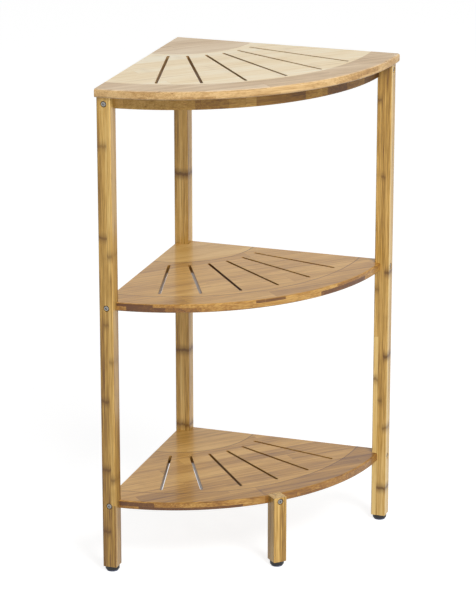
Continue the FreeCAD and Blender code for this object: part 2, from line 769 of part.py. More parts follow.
def make_bolt():
    """Socket-head bolt along Y, the underside of its head at the origin."""
    body = new_body("bolt")
    head = wall_sketch(body, "bolt_head_outline", 0, NOTHING)
    draw_circle(head, S.bolt_head)
    pad(body, head, S.bolt_head_height)
    shank = wall_sketch(body, "bolt_shank_outline", 0, NOTHING)
    draw_circle(shank, S.bolt_shank)
    pad(body, shank, BOLT_LENGTH, backwards=True)
    socket = wall_sketch(body, "bolt_socket_outline", 0, S.bolt_head_height)
    draw_hexagon(socket, S.bolt_socket)
    pocket(body, socket, S.bolt_socket_depth)
    dress(body, "Chamfer", S.metal_bevel, is_end_circle)
    return body


def draw_hexagon(sketch, across_flats):
    """Regular hexagon about the sketch's origin."""
    radius = across_flats / math.sqrt(3)
    circle = sketch.addGeometry(Part.Circle(ORIGIN, UP, radius.number), True)
    tie(sketch, "Coincident", circle, 3, H_AXIS, 1)
    fix(sketch, "Radius", circle, radius)
    points = [
        FreeCAD.Vector(math.cos(i * math.pi / 3), math.sin(i * math.pi / 3), 0) * radius.number
        for i in range(6)
    ]
    sides = [line(sketch, points[i], points[(i + 1) % 6]) for i in range(6)]
    for i in range(6):
        tie(sketch, "Coincident", sides[i], 2, sides[(i + 1) % 6], 1)
        tie(sketch, "PointOnObject", sides[i], 1, circle)
        if i:
            tie(sketch, "Equal", sides[0], sides[i])
    tie(sketch, "PointOnObject", sides[0], 1, H_AXIS)


def is_end_circle(edge):
    """The rim of a bolt's head and the rim of its tip."""
    curve = edge.Curve
    if not isinstance(curve, Part.Circle):
        return False
    at_head = abs(curve.Center.y + S.bolt_head_height.number) < 1e-4
    at_tip = abs(curve.Center.y - BOLT_LENGTH.number) < 1e-4
    return at_head or at_tip


def make_tube(label, outside, inside, length, upright):
    """Threaded insert: a tube from the origin along Y, or upwards."""
    body = new_body(label)
    if upright:
        section = plan_sketch(body, f"{label}_section")
    else:
        section = wall_sketch(body, f"{label}_section", 0, NOTHING)
    draw_circle(section, outside)
    draw_circle(section, inside)
    pad(body, section, length, backwards=not upright)
    dress(body, "Chamfer", S.metal_bevel, round_edge(outside / 2))
    return body


def make_screw():
    """Wood screw that points up, the underside of its head at the origin."""
    shank = doc.addObject("Part::Cylinder", "screw_shank")
    shank.setExpression("Radius", (S.screw_shank / 2).text)
    shank.setExpression("Height", (SCREW_LENGTH - S.screw_shank).text)
    tip = doc.addObject("Part::Cone", "screw_tip")
    tip.setExpression("Radius1", (S.screw_shank / 2).text)
    tip.setExpression("Radius2", (S.screw_shank / 8).text)
    tip.setExpression("Height", S.screw_shank.text)
    tip.setExpression("Placement.Base.z", (SCREW_LENGTH - S.screw_shank).text)
    head = doc.addObject("Part::Cylinder", "screw_head")
    head.setExpression("Radius", (S.screw_head / 2).text)
    head.setExpression("Height", S.screw_head_height.text)
    head.setExpression("Placement.Base.z", (-S.screw_head_height).text)
    body = doc.addObject("Part::MultiFuse", "screw_solid")
    body.Shapes = [shank, tip, head]
    recess = doc.addObject("Part::MultiFuse", "screw_recess")
    recess.Shapes = [recess_bar("screw_recess_a", 0), recess_bar("screw_recess_b", 90)]
    screw = doc.addObject("Part::Cut", "screw")
    screw.Base = body
    screw.Tool = recess
    doc.recompute()
    return screw


def recess_bar(label, angle):
    """One bar of the cross recess in the head of a wood screw."""
    length = S.screw_head / 2
    width = S.screw_shank / 4
    bar = doc.addObject("Part::Box", label)
    bar.setExpression("Length", length.text)
    bar.setExpression("Width", width.text)
    bar.setExpression("Height", S.screw_head_height.text)
    across, along = (-width / 2, -length / 2) if angle else (-length / 2, -width / 2)
    if angle:
        bar.setExpression("Length", width.text)
        bar.setExpression("Width", length.text)
    bar.setExpression("Placement.Base.x", across.text)
    bar.setExpression("Placement.Base.y", along.text)
    bar.setExpression("Placement.Base.z", (-(S.screw_head_height * 1.5)).text)
    return bar


def make_group(label, master, spots):
    """Several copies of one fastener; each spot gives where a copy stands."""
    copies = []
    for number, (x, y, z) in enumerate(spots, start=1):
        copy = doc.addObject("App::Link", f"{label}_{number}")
        copy.LinkedObject = master
        copy.LinkTransform = False
        place(copy, x, y, z)
        copies.append(copy)
    group = doc.addObject("Part::Compound", label)
    group.Label = label
    group.Links = copies
    doc.recompute()
    return group


def make_leg_bolts(name, bolt, heights):
    seat = S.bolt_sink - S.leg_depth / 2
    group = make_group(f"{name}_leg_bolts", bolt, [(0, seat, up) for up in heights])
    put_with_leg(group, name, S.foot_height)
    return group


def make_shelf_inserts(name, insert, heights):
    seat = S.leg_depth / 2 + S.notch_clearance
    group = make_group(f"{name}_leg_inserts", insert, [(0, seat, up) for up in heights])
    put_with_leg(group, name, S.foot_height)
    return group


def make_screw_group(label, screw, radius, first, count, pitch):
    """Screws on a circle about the wall corner, with their heads in the counterbores."""
    spots = []
    for i in range(int(count.number)):
        turn = f"(({first.text} + {i} * {pitch.text}) * 1deg)"
        angle = math.radians(first.number + i * pitch.number)
        x = Size(radius.number * math.sin(angle), f"({radius.text} * sin{turn})")
        y = Size(-radius.number * math.cos(angle), f"(0 - {radius.text} * cos{turn})")
        spots.append((x, y, S.screw_sink))
    group = make_group(label, screw, spots)
    place(group, CORNER_X, CORNER_Y, TIERS["top"].floor - S.apron_height)
    return group


# ---------------------------------------------------------------- levelling feet

def make_foot_nut(name, master):
    group = make_group(f"{name}_foot_insert", master, [(0, 0, 0)])
    put_with_leg(group, name, S.foot_height)
    return group


def make_pad(name):
    """Plastic pad of a levelling foot, with a blind hole for the stud."""
    body = new_body(f"{name}_foot_pad")
    disc = plan_sketch(body, f"{body.Name}_disc")
    draw_circle(disc, S.pad_outside)
    height = S.foot_height - S.glide_height
    pad(body, disc, height)
    dress(body, "Chamfer", (S.pad_outside - S.glide_outside) / 4, round_edge(S.pad_outside / 2, 0))
    hole = plan_sketch(body, f"{body.Name}_stud_hole", height)
    draw_circle(hole, S.stud_outside + S.thread_fit * 2)
    pocket(body, hole, S.stud_seat)
    put_with_leg(body, name, S.glide_height)
    return body


def make_glide(name):
    """Soft disc under the pad, which stands on the floor."""
    body = new_body(f"{name}_foot_glide")
    disc = plan_sketch(body, f"{body.Name}_disc")
    draw_circle(disc, S.glide_outside)
    pad(body, disc, S.glide_height)
    put_with_leg(body, name, NOTHING)
    return body


def make_stud(name):
    """Threaded stud that carries the pad and turns in the leg's insert."""
    body = new_body(f"{name}_foot_stud")
    section = plan_sketch(body, f"{body.Name}_section")
    draw_circle(section, S.stud_outside)
    pad(body, section, S.stud_length)
    dress(body, "Chamfer", S.metal_bevel, round_edge(S.stud_outside / 2))
    put_with_leg(body, name, S.foot_height - S.stud_seat)
    return body


# ---------------------------------------------------------------- the whole assembly

def build():
    """Make every piece and return them all."""
    pieces = []
    for tier_name, tier in TIERS.items():
        pieces.append(make_corner_block(tier_name, tier))
        pieces.append(make_slotted_panel(tier_name, tier))
        pieces.append(make_rim_part(tier_name, tier, "left", RIM_JOINT))
        pieces.append(make_rim_part(tier_name, tier, "right", -RIM_JOINT + 90))
        pieces.append(make_rim_spline(tier_name, tier))
    pieces.append(make_apron())
    pieces.append(make_cleat())

    bolt = make_bolt()
    insert = make_tube("insert", S.insert_outside, S.bolt_shank + S.thread_fit * 2,
                       S.insert_length, upright=False)
    foot_nut = make_tube("foot_nut", S.foot_nut_outside, S.stud_outside + S.thread_fit * 2,
                         S.foot_nut_length, upright=True)
    screw = make_screw()

    for name in LEGS:
        if name == "front":
            length = FRONT_LEG_LENGTH
            heights = [BOLT_HEIGHTS["bottom"]]
        else:
            length = LEG_LENGTH
            heights = list(BOLT_HEIGHTS.values())
        pieces.append(make_leg(name, length, heights))
        pieces.append(make_leg_bolts(name, bolt, heights))
        pieces.append(make_shelf_inserts(name, insert, heights))
        pieces.append(make_foot_nut(name, foot_nut))
        pieces.append(make_stud(name))
        pieces.append(make_pad(name))
        pieces.append(make_glide(name))

    pieces.append(make_screw_group(
        "apron_screws", screw, APRON_RADIUS - S.apron_thick / 2,
        S.apron_screw_angle, S.apron_screws, S.apron_screw_pitch))
    pieces.append(make_screw_group(
        "cleat_screws", screw, S.cleat_screw_radius,
        S.cleat_screw_angle, S.cleat_screws, S.cleat_screw_pitch))
    return pieces


def check(pieces):
    """Stop if any object failed to build or any piece is not a sound solid."""
    for item in doc.Objects:
        if "Invalid" in item.State or "Error" in item.State:
            raise RuntimeError(f"{item.Label} failed: {item.State}")
    for piece in pieces:
        if piece.Shape.isNull() or not piece.Shape.isValid():
            raise RuntimeError(f"{piece.Label} is not a valid shape")


def export(pieces):
    os.makedirs("parts", exist_ok=True)
    for piece in pieces:
        piece.Shape.exportStep(f"parts/{piece.Label}.step")


doc.recompute()
PIECES = build()
doc.recompute()
check(PIECES)
export(PIECES)
print(len(PIECES), "pieces written")
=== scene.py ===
import math

import bmesh
import bpy
from mathutils import Matrix, Vector


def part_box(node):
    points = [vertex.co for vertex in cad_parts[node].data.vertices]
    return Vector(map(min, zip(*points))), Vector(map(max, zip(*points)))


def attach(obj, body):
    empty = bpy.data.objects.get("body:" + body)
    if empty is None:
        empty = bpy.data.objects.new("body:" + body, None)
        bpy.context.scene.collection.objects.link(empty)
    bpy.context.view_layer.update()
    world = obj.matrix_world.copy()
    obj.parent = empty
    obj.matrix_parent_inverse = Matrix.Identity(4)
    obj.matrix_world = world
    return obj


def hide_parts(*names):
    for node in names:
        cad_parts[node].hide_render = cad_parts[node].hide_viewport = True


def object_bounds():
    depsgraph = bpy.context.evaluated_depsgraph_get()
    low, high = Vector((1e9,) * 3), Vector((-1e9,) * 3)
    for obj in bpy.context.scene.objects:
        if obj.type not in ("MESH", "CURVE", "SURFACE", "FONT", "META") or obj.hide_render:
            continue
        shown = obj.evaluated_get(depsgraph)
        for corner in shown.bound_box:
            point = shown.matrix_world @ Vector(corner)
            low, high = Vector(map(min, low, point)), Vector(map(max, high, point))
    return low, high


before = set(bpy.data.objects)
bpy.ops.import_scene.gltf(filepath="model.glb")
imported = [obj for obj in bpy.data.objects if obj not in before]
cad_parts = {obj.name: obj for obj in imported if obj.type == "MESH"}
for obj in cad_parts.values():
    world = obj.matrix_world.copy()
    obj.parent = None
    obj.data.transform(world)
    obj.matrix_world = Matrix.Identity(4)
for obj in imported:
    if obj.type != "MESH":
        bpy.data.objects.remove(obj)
CAD_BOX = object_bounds()

# A bamboo corner shelf. Lengths are in metres, +Z is up, the walls meet at -X, +Y.

MM = 0.001
LEGS = ("left", "right", "back", "front")
BISECTOR = math.radians(45)
WHITE = (1.0, 1.0, 1.0, 1.0)


def wall_corner():
    """Where the two walls meet: just outside the corner block of the top."""
    low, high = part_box("top_corner_block")
    wall_gap = 1 * MM
    return Vector((low.x - wall_gap, high.y + wall_gap, 0))


CORNER = wall_corner()


# ---------------------------------------------------------------- shader helpers

def colour(red, green, blue):
    """An sRGB colour, 0 to 255, as the linear colour that a shader takes."""
    def linear(value):
        value /= 255
        return value / 12.92 if value <= 0.04045 else ((value + 0.055) / 1.055) ** 2.4
    return (linear(red), linear(green), linear(blue), 1.0)


class Graph:
    """A material with a Principled shader, and short ways to add nodes to it."""

    def __init__(self, name, **uniform):
        self.material = bpy.data.materials.new(name)
        self.material.use_nodes = True
        self.tree = self.material.node_tree
        self.shader = self.tree.nodes["Principled BSDF"]
        for socket, value in uniform.items():
            self.shader.inputs[socket.replace("_", " ")].default_value = value

    def node(self, kind, inputs, **settings):
        made = self.tree.nodes.new(kind)
        for key, value in settings.items():
            setattr(made, key, value)
        for key, value in inputs.items():
            self.feed(made.inputs[key], value)
        return made

    def feed(self, socket, value):
        if isinstance(value, bpy.types.NodeSocket):
            self.tree.links.new(value, socket)
        else:
            socket.default_value = value

    def math(self, operation, *values):
        return self.node("ShaderNodeMath", dict(enumerate(values)), operation=operation).outputs[0]

    def add(self, *values):
        total = values[0]
        for value in values[1:]:
            total = self.math("ADD", total, value)
        return total

    def times(self, a, b):
        return self.math("MULTIPLY", a, b)

    def place(self, origin=(0, 0, 0), turn=0.0):
        """Object coordinates from an origin, turned about Z, as three sockets."""
        source = self.node("ShaderNodeTexCoord", {}).outputs["Object"]
        local = self.node(
            "ShaderNodeMapping",
            {"Vector": source, "Location": origin, "Rotation": (0, 0, turn)},
            vector_type="TEXTURE",
        )
        return self.split(local.outputs[0])

    def split(self, vector):
        return self.node("ShaderNodeSeparateXYZ", {"Vector": vector}).outputs[:3]

    def join(self, x, y, z):
        return self.node("ShaderNodeCombineXYZ", {"X": x, "Y": y, "Z": z}).outputs[0]

    def noise(self, vector, detail=2.0, roughness=0.5):
        inputs = {"Vector": vector, "Scale": 1.0, "Detail": detail, "Roughness": roughness}
        return self.node("ShaderNodeTexNoise", inputs).outputs["Fac"]

    def random(self, x, y, z):
        """Three random numbers for each whole-number cell."""
        made = self.node("ShaderNodeTexWhiteNoise", {"Vector": self.join(x, y, z)},
                         noise_dimensions="3D")
        return self.split(made.outputs["Color"])

    def spread(self, value, low, high, start=0.0, end=1.0):
        """Value between low and high as a smooth step from start to end."""
        inputs = {"Value": value, "From Min": low, "From Max": high,
                  "To Min": start, "To Max": end}
        made = self.node("ShaderNodeMapRange", inputs, interpolation_type="SMOOTHSTEP")
        return made.outputs["Result"]

    def mix(self, share, first, second):
        """The first colour where the share is 0, the second where it is 1."""
        inputs = {0: share, 6: first, 7: second}
        return self.node("ShaderNodeMix", inputs, data_type="RGBA").outputs[2]

    def ramp(self, value, *stops):
        """A colour for each value, by stops of place and tone."""
        made = self.node("ShaderNodeValToRGB", {"Fac": value})
        elements = made.color_ramp.elements
        while len(elements) < len(stops):
            elements.new(0.5)
        for element, (position, tone) in zip(elements, stops):
            element.position = position
            element.color = tone
        return made.outputs["Color"]

    def wear(self, width):
        """1 along the sharp edges, 0 a short way off them."""
        rounded = self.node("ShaderNodeBevel", {"Radius": width}, samples=4).outputs[0]
        own = self.node("ShaderNodeNewGeometry", {}).outputs["Normal"]
        made = self.node("ShaderNodeVectorMath", {0: rounded, 1: own}, operation="DOT_PRODUCT")
        return self.spread(made.outputs["Value"], 0.8, 0.98, 1.0, 0.0)

    def bump(self, height, strength, distance):
        inputs = {"Height": height, "Strength": strength, "Distance": distance}
        made = self.node("ShaderNodeBump", inputs)
        self.feed(self.shader.inputs["Normal"], made.outputs[0])


# ---------------------------------------------------------------- bamboo

class Bamboo:
    """Laminated bamboo: strips glued side by side, each made of shorter pieces with their
    own tone, fine fibres along the strip and the dark node of a cane now and then."""

    def __init__(self, name, tones, seed, gloss=0.35, gloss_roughness=0.2):
        self.graph = Graph(name, Coat_Weight=gloss, Coat_Roughness=gloss_roughness)
        self.tones = tones
        self.seed = seed

    def lay(self, origin, turn, upright=False):
        """Set the direction of the grain: along X after the turn, or along Z."""
        g = self.graph
        x, y, z = g.place(origin, turn)
        self.radius = g.math("SQRT", g.add(g.times(x, x), g.times(y, y)))
        self.along, self.across, self.deep = (z, x, y) if upright else (x, y, z)

    def strips(self, width, layer, length, block=1.0):
        """Split the wood into strips and layers of glued pieces, and its sides into blocks."""
        g = self.graph
        strip = g.times(self.across, 1 / width)
        row = g.math("FLOOR", strip)
        level = g.math("FLOOR", g.times(self.deep, 1 / layer))
        start, self.knot_start, _ = g.random(row, level, self.seed)
        piece = g.add(g.times(self.along, 1 / length), g.times(start, 9.0))
        number = g.math("FLOOR", piece)
        self.tone, self.shift, _ = g.random(g.add(row, g.times(number, 17.0)), level, self.seed + 0.5)
        side_start, _, _ = g.random(3.0, level, self.seed + 0.25)
        side = g.math("FLOOR", g.add(g.times(self.along, 1 / block), g.times(side_start, 9.0)))
        self.side_tone, _, _ = g.random(side, level, self.seed + 0.75)
        edge = g.math("PINGPONG", strip, 0.5)
        self.seam = g.spread(edge, 0.0, 0.35 * MM / width, 1.0, 0.0)
        butt = g.math("PINGPONG", piece, 0.5)
        self.butt = g.spread(butt, 0.0, 0.4 * MM / length, 1.0, 0.0)

    def fibres(self, wide, long):
        """Stretched noise, shifted from piece to piece."""
        g = self.graph
        offset = g.times(self.shift, 40.0)
        vector = g.join(
            g.add(g.times(self.along, 1 / long), offset),
            g.times(self.across, 1 / wide),
            g.times(self.deep, 1 / wide),
        )
        return g.noise(vector, detail=3.0, roughness=0.6)

    def clouds(self, size, stretch=4.0):
        """Broad changes of tone, longer along the grain."""
        g = self.graph
        vector = g.join(
            g.times(self.along, 1 / (size * stretch)),
            g.times(self.across, 1 / size),
            g.add(g.times(self.deep, 1 / size), self.seed),
        )
        return g.noise(vector, detail=2.0)

    def stray_knots(self, spacing):
        """Cane nodes at a height of its own in every strip."""
        g = self.graph
        place = g.add(g.times(self.along, 1 / spacing), g.times(self.knot_start, 5.0))
        place = g.add(place, g.times(self.ragged, 1 / spacing))
        away = g.times(g.math("PINGPONG", place, 0.5), spacing)
        return self.knot_shape(away, 0.5)

    def knot_shape(self, away, strength):
        """A fine dark line in a soft brown patch, by the distance from the node."""
        g = self.graph
        patch = g.spread(away, 0.0, 12 * MM, 0.7 * strength, 0.0)
        line = g.spread(away, 0.6 * MM, 3.0 * MM, 0.3 * strength, 0.0)
        return g.add(patch, line)

    def chosen_knots(self, knots):
        """Cane nodes at chosen heights, each over part of the strip's width or depth."""
        g = self.graph
        total = 0.0
        for height, across, deep, strength in knots:
            away = g.math("ABSOLUTE", g.add(self.along, self.ragged, -height))
            mark = self.knot_shape(away, strength)
            for place, (start, end) in ((self.across, across), (self.deep, deep)):
                off = g.math("ABSOLUTE", g.add(place, -(start + end) / 2 * MM))
                half = (end - start) / 2 * MM
                mark = g.times(mark, g.spread(off, half - 1 * MM, half + 1 * MM, 1.0, 0.0))
            total = g.math("MAXIMUM", total, mark)
        return total

    def knots(self, chosen, strength):
        """The stray and the chosen cane nodes together, broken up by the fibres."""
        g = self.graph
        knot = g.times(self.stray_knots(310 * MM), strength)
        if chosen:
            knot = g.math("MAXIMUM", knot, self.chosen_knots(chosen))
        return g.math("MINIMUM", g.times(knot, g.spread(self.fine, 0.2, 0.6, 0.6, 1.1)), 0.9)

    def wood_tone(self, flat, tones, side_tones, contrast, side_contrast, strip_contrast,
                  drift, grain_strength):
        """The wood's colour, with the drift's painted light and shade on the legs: one ramp for level
        faces, another for upright ones.
        """
        g = self.graph
        # On the legs the drift is painted light and shade along their height.
        base, change = drift
        grain = g.add(
            base,
            g.times(self.along, change),
            g.times(g.add(self.streak, -0.5), 0.6 * grain_strength),
            g.times(g.add(self.fine, -0.5), 0.8 * grain_strength),
            g.times(g.add(self.clouds(30 * MM), -0.5), 0.5),
        )
        centred = g.add(self.tone, -0.5)
        blocks = g.times(g.spread(self.side_tone, 0.05, 0.45, -1.0, 0.2), side_contrast)
        board = g.ramp(g.add(grain, g.times(centred, contrast)), *tones)
        side = g.ramp(g.add(grain, blocks, g.times(centred, strip_contrast)), *side_tones)
        return g.mix(flat, side, board)

    def finish(self, line_tone, contrast=0.3, side_contrast=0.0, strip_contrast=0.0, side_tones=None,
               knot_strength=0.15, seam_strength=0.12, knots=(), joints=(),
               drift=(0.55, 0.0), slot_wall_shade=0.0, grain_strength=1.2):
        """Put the layers together and wire up the shader.

        line_tone       colour of nodes, streaks and glue lines, and of the painted shade on the slot walls
        contrast        between the pieces on level faces
        side_contrast   between the blocks on upright faces
        strip_contrast  between the strips on upright faces
        joints          radii of the lines where a shelf's pieces meet
        drift           tone at the start of the grain, and its change for each metre; on the legs, painted light and shade
        slot_wall_shade       painted shade: how much darker the upright faces, the slot walls, are than the rest; partly the darker tone of cut wood
        """
        g = self.graph
        self.fine = self.fibres(1.1 * MM, 45 * MM)
        self.streak = self.fibres(4.5 * MM, 180 * MM)
        self.ragged = g.times(g.add(self.fibres(5 * MM, 30 * MM), -0.5), 9 * MM)
        normal = g.split(g.node("ShaderNodeNewGeometry", {}).outputs["True Normal"])
        flat = g.spread(g.math("ABSOLUTE", normal[2]), 0.55, 0.8)
        shade = self.wood_tone(flat, self.tones, side_tones or self.tones, contrast,
                               side_contrast, strip_contrast, drift, grain_strength)
        mineral = g.spread(self.streak, 0.24, 0.38, 0.3, 0.0)
        shade = g.mix(mineral, shade, line_tone)
        knot = self.knots(knots, knot_strength)
        shade = g.mix(knot, shade, line_tone)
        lines = g.math("MAXIMUM", self.seam, self.butt)
        shade = g.mix(g.times(lines, seam_strength), shade, line_tone)
        for radius in joints:
            gap = g.math("ABSOLUTE", g.add(self.radius, -radius))
            line = g.times(g.spread(gap, 0.8 * MM, 2.4 * MM, 0.75, 0.0), flat)
            shade = g.mix(line, shade, line_tone)
        # Painted shade on the slot walls: the upright faces are darkened toward the line tone, partly
        # for the darker cut wood and partly as the shade inside the slots.
        if slot_wall_shade:
            shade = g.mix(g.spread(flat, 0.0, 1.0, slot_wall_shade, 0.0), shade, line_tone)
        worn = g.times(g.wear(0.7 * MM), g.spread(self.fine, 0.35, 0.6, 0.15, 0.5))
        palest = self.tones[-1][1]
        g.feed(g.shader.inputs["Base Color"], g.mix(worn, shade, palest))
        rough = g.add(0.4, g.times(self.fine, 0.2), g.times(knot, 0.15), g.times(worn, 0.2))
        g.feed(g.shader.inputs["Roughness"], rough)
        height = g.add(self.fine, g.times(lines, -0.8), g.times(knot, 0.5))
        g.bump(height, 0.35, 0.15 * MM)
        return g.material


def palette(*tones):
    """Four tones from dark to pale, with their places on the ramp."""
    return tuple(zip((0.0, 0.38, 0.66, 1.0), tones))


# Colour of the nodes, streaks and glue lines on the shelves and apron, and of the painted shade on
# the slot walls.
LINE_AND_SLOT_SHADE_TONE = colour(84, 50, 20)
KNOT_TONE = colour(96, 62, 24)
FIELD_TONES = palette(
    colour(206, 172, 118), colour(238, 212, 164), colour(250, 230, 192), colour(252, 242, 216))
TAN_TONES = palette(
    colour(132, 94, 58), colour(200, 168, 126), colour(222, 196, 160), colour(238, 218, 188))
SHELF_TONES = palette(
    colour(104, 64, 20), colour(174, 126, 52), colour(206, 158, 80), colour(228, 188, 118))
EDGE_TONES = palette(
    colour(92, 54, 18), colour(154, 106, 42), colour(196, 152, 80), colour(218, 180, 114))
TOP_EDGE_TONES = palette(
    colour(120, 80, 36), colour(176, 136, 82), colour(212, 176, 122), colour(230, 200, 150))
APRON_TONES = palette(
    colour(82, 50, 16), colour(126, 88, 32), colour(160, 122, 56), colour(196, 158, 92))
LEG_TONES = palette(
    colour(104, 68, 24), colour(166, 126, 56), colour(204, 162, 86), colour(232, 198, 126))

# Cane nodes that show on the legs: height in metres, then the stretch of the leg's width
# and of its depth that each one covers, in millimetres from the leg's corner, then how
# strong it is. WHOLE is more than a leg's width.
WHOLE = (-1, 30)
KNOTS = {
    "left": (
        (0.617, (0, 14), WHOLE, 0.7), (0.489, (0, 13), WHOLE, 0.9), (0.464, (12, 20), WHOLE, 0.7),
        (0.365, (5, 14), WHOLE, 0.7), (0.312, (13, 20), WHOLE, 0.6), (0.254, (0, 13), WHOLE, 1.0),
        (0.153, (0, 14), WHOLE, 1.0), (0.139, (13, 20), WHOLE, 0.8), (0.061, (0, 13), WHOLE, 1.0),
    ),
    "right": (
        (0.634, (0, 7), WHOLE, 0.7), (0.522, (7, 14), WHOLE, 0.7), (0.381, (14, 22), WHOLE, 0.9),
        (0.355, (0, 7), WHOLE, 0.6), (0.255, (14, 22), WHOLE, 1.0), (0.218, (0, 7), WHOLE, 0.7),
        (0.186, (7, 14), WHOLE, 0.6), (0.145, (14, 22), WHOLE, 0.7), (0.051, (7, 22), WHOLE, 0.9),
    ),
    "back": (
        (0.500, WHOLE, WHOLE, 1.0), (0.231, WHOLE, WHOLE, 0.9), (0.114, WHOLE, WHOLE, 0.8),
    ),
    "front": (),
}

# Tone of a leg at its lower end, and how much it changes for each metre up: painted light and shade.
# The left leg is painted darker towards the bottom, as if lit from above. The right leg is painted
# lighter at its lower end to make up for the middle shelf's shadow. The back leg is painted darker
# towards the top, as shade under the shelves.
LEG_SHADE_DRIFTS = {"left": (0.34, 0.45), "right": (0.9, -0.45), "back": (0.66, -0.2), "front": (0.6, 0.0)}


def leg_bamboo(name, seed):
    low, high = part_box(f"{name}_leg")
    centre = (low + high) / 2
    wood = Bamboo(f"{name}_leg_bamboo", LEG_TONES, seed)
    turn = BISECTOR if name == "front" else 0.0
    half_width = 10 * MM
    wood.lay((centre.x - half_width, centre.y - half_width, 0), turn, upright=True)
    wood.strips(width=6.7 * MM, layer=7 * MM, length=2.0)
    # The drift paints light and shade along the leg's height.
    return wood.finish(KNOT_TONE, strip_contrast=0.5, knot_strength=0.3,
                       seam_strength=0.35, knots=KNOTS[name], drift=LEG_SHADE_DRIFTS[name],
                       grain_strength=1.9)


# ---------------------------------------------------------------- metal, plastic, rubber

def metal(name, tone, roughness, scale):
    """Plated steel with fine scratches and brighter edges."""
    g = Graph(name, Metallic=1.0)
    x, y, z = g.place()
    scratches = g.noise(g.join(g.times(x, scale), g.times(y, scale), g.times(z, scale * 6)), 4.0)
    worn = g.wear(0.3 * MM)
    shade = g.mix(g.times(scratches, 0.35), tone, WHITE)
    g.feed(g.shader.inputs["Base Color"], g.mix(g.times(worn, 0.4), shade, WHITE))
    g.feed(g.shader.inputs["Roughness"], g.add(roughness, g.times(scratches, 0.2)))
    g.bump(scratches, 0.2, 0.03 * MM)
    return g.material


def threaded(node, pitch):
    """Zinc-plated steel with a thread round the node's upright axis, painted darker in its grooves as
    shade.
    """
    low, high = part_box(node)
    middle = (low + high) / 2
    g = Graph(f"{node}_steel", Metallic=1.0)
    x, y, z = g.place((middle.x, middle.y, 0), 0.0)
    turn = g.times(g.math("ARCTAN2", y, x), 0.5 / math.pi)
    thread = g.times(g.math("PINGPONG", g.add(g.times(z, 1 / pitch), turn), 0.5), 2.0)
    cloudy = g.noise(g.join(g.times(x, 600), g.times(y, 600), g.times(z, 600)), 3.0)
    # Painted shade and highlight: the thread is dark in its grooves and pale on its crests.
    tone = g.mix(g.times(thread, 0.8), colour(92, 90, 84), colour(190, 190, 184))
    g.feed(g.shader.inputs["Base Color"], g.mix(g.times(cloudy, 0.3), tone, WHITE))
    g.feed(g.shader.inputs["Roughness"], g.add(0.3, g.times(cloudy, 0.2)))
    g.bump(g.add(thread, g.times(cloudy, 0.1)), 0.8, 0.4 * MM)
    return g.material


def moulded(name, dark, light, roughness, grain):
    """Moulded plastic or rubber with a speckled, slightly rough skin."""
    g = Graph(name)
    x, y, z = g.place()
    specks = g.noise(g.join(g.times(x, grain), g.times(y, grain), g.times(z, grain)), 5.0)
    g.feed(g.shader.inputs["Base Color"], g.mix(specks, dark, light))
    g.feed(g.shader.inputs["Roughness"], g.add(roughness, g.times(specks, 0.25)))
    g.bump(specks, 0.3, 0.06 * MM)
    return g.material


BOLT_STEEL = metal("bolt_steel", colour(120, 116, 108), 0.3, 900)
ZINC = metal("zinc_steel", colour(178, 178, 174), 0.3, 700)
SCREW_STEEL = metal("screw_steel", colour(186, 180, 164), 0.3, 700)
PAD_PLASTIC = moulded("pad_plastic", colour(14, 14, 15), colour(34, 34, 36), 0.35, 1400)
GLIDE_RUBBER = moulded("glide_rubber", colour(58, 66, 92), colour(96, 106, 136), 0.5, 1100)


# ---------------------------------------------------------------- pieces

def detail(node, body, slot, material, bevel):
    """A finished copy of a CAD node: its sharp edges eased, its facets shaded smooth."""
    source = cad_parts[node]
    mesh = source.data.copy()
    mesh.name = f"{node}_finished"
    shape = bmesh.new()
    shape.from_mesh(mesh)
    bmesh.ops.remove_doubles(shape, verts=shape.verts, dist=0.001 * MM)
    bmesh.ops.dissolve_limit(
        shape, angle_limit=math.radians(0.3), use_dissolve_boundaries=False,
        verts=shape.verts, edges=shape.edges)
    shape.to_mesh(mesh)
    shape.free()
    mesh.materials.clear()
    mesh.materials.append(material)
    piece = bpy.data.objects.new(f"{node}_finished", mesh)
    bpy.context.scene.collection.objects.link(piece)
    mesh.shade_smooth()
    eased = piece.modifiers.new("eased_edges", "BEVEL")
    eased.width = bevel
    eased.segments = 2
    eased.limit_method = "ANGLE"
    eased.angle_limit = math.radians(35)
    eased.use_clamp_overlap = True
    even = piece.modifiers.new("even_shading", "WEIGHTED_NORMAL")
    even.keep_sharp = True
    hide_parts(node)
    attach(piece, body)


def tier_radii(tier):
    """Radii about the wall corner of the block's edge and of the rim's inner edge."""
    block_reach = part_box(f"{tier}_corner_block")[1].x - CORNER.x
    panel_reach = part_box(f"{tier}_slotted_panel")[1].x - CORNER.x
    tongue = 6 * MM
    return block_reach, panel_reach - tongue


# Tone of each piece of a shelf, from 0 for dark to 1 for pale.
SHELF_PIECES = {
    "top": {"corner_block": 0.68, "slotted_panel": 0.66, "rim_left": 0.54, "rim_right": 0.54},
    "middle": {"corner_block": 0.76, "slotted_panel": 0.48, "rim_left": 0.38, "rim_right": 0.4},
    "bottom": {"corner_block": 0.66, "slotted_panel": 0.46, "rim_left": 0.38, "rim_right": 0.24},
}


